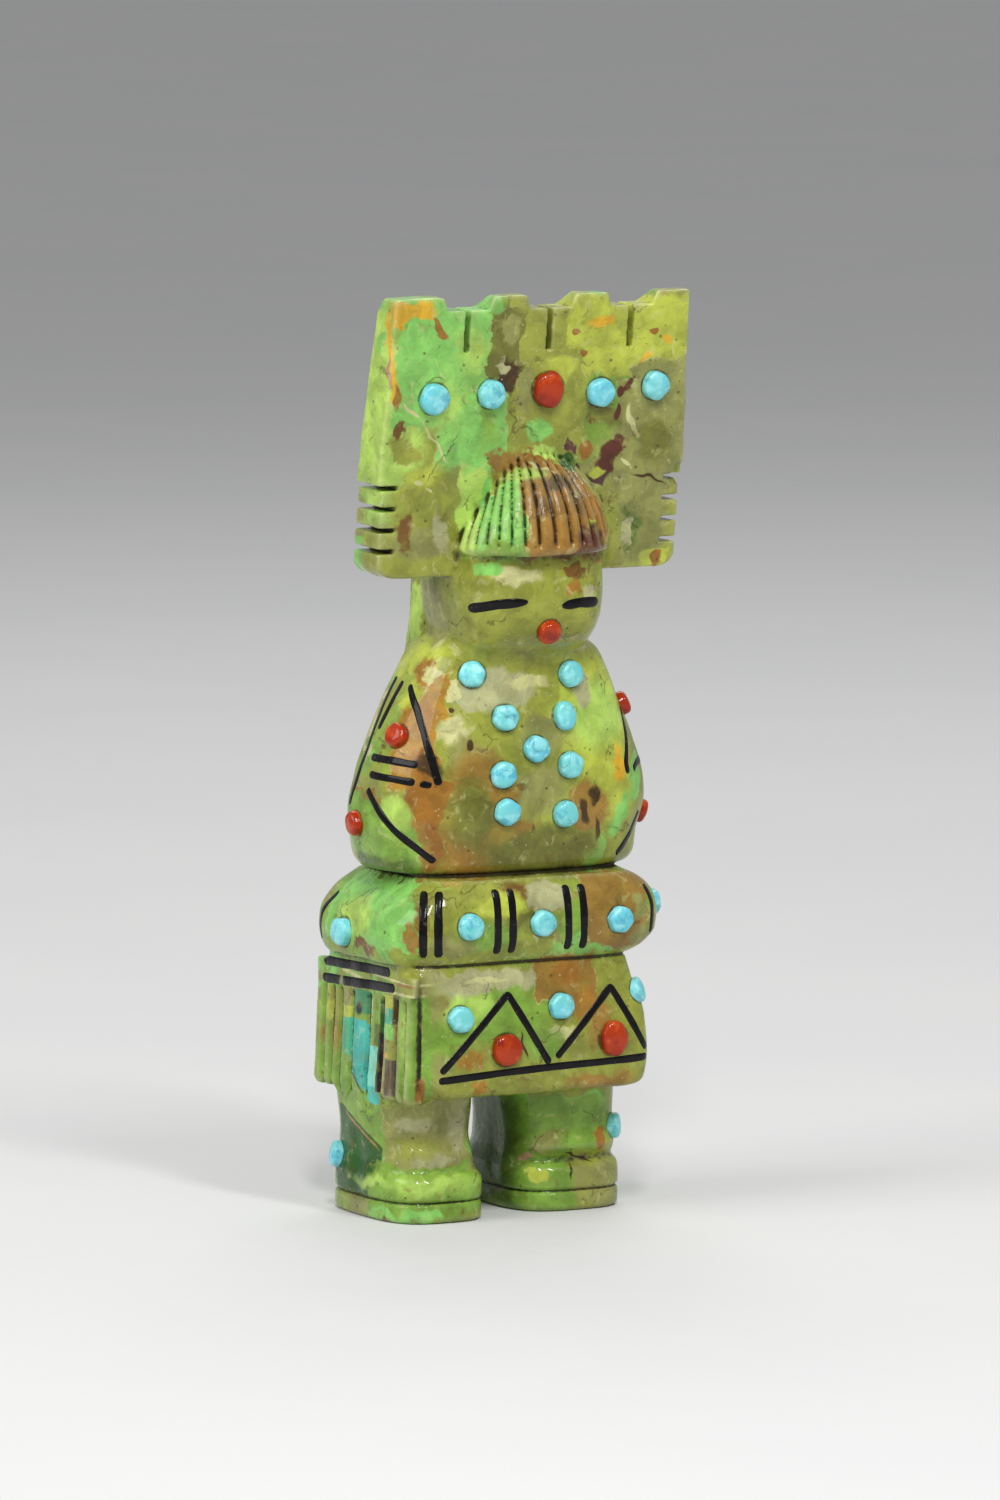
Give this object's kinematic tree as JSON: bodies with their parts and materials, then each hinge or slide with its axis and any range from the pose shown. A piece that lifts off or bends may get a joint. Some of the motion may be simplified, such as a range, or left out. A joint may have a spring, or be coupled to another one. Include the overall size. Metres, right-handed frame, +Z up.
{
  "type": "fetish carving",
  "caption": "Small standing maiden carved in green stone, with a tall stepped tablet on its head, a roll belt, a kilt and a sash, inlaid with domed stone dots and flush dark strips.",
  "frame": {"origin": "middle of the figure's footprint, on the plane that the soles stand on", "axes": "+Z up from the soles to the top of the tablet, -Y the way the figure faces, +X the figure's own left"},
  "size_m": [0.0261, 0.018, 0.0691],
  "materials": {
    "green_stone": "polished, veined green to brown",
    "turquoise": "polished dome",
    "coral": "polished dome",
    "jet": "polished flush with the stone"
  },
  "bodies": {
    "root": {"stone_figure": "green_stone", "coral_arm_left_1": "coral", "coral_arm_left_2": "coral", "coral_arm_right_1": "coral", "coral_arm_right_2": "coral", "coral_kilt_1": "coral", "coral_kilt_2": "coral", "coral_kilt_3": "coral", "coral_nose": "coral", "coral_tablet": "coral", "jet_arm_left_1": "jet", "jet_arm_left_2": "jet", "jet_arm_left_3": "jet", "jet_arm_right_1": "jet", "jet_arm_right_2": "jet", "jet_arm_right_3": "jet", "jet_arm_right_4": "jet", "jet_arm_right_5": "jet", "jet_arm_right_6": "jet", "jet_belt_1": "jet", "jet_belt_2": "jet", "jet_belt_3": "jet", "jet_belt_4": "jet", "jet_belt_5": "jet", "jet_belt_6": "jet", "jet_belt_end_1": "jet", "jet_belt_end_2": "jet", "jet_eye_left": "jet", "jet_eye_right": "jet", "jet_kilt_1": "jet", "jet_kilt_2": "jet", "jet_kilt_3": "jet", "jet_sash_1": "jet", "jet_sash_2": "jet", "turquoise_belt_1": "turquoise", "turquoise_belt_2": "turquoise", "turquoise_belt_3": "turquoise", "turquoise_belt_4": "turquoise", "turquoise_belt_5": "turquoise", "turquoise_chest_1": "turquoise", "turquoise_chest_2": "turquoise", "turquoise_chest_3": "turquoise", "turquoise_chest_4": "turquoise", "turquoise_chest_5": "turquoise", "turquoise_chest_6": "turquoise", "turquoise_chest_7": "turquoise", "turquoise_chest_8": "turquoise", "turquoise_chest_9": "turquoise", "turquoise_kilt_1": "turquoise", "turquoise_kilt_2": "turquoise", "turquoise_kilt_3": "turquoise", "turquoise_leg_left": "turquoise", "turquoise_leg_right": "turquoise", "turquoise_tablet_1": "turquoise", "turquoise_tablet_2": "turquoise", "turquoise_tablet_3": "turquoise", "turquoise_tablet_4": "turquoise"}
  },
  "joints": []
}
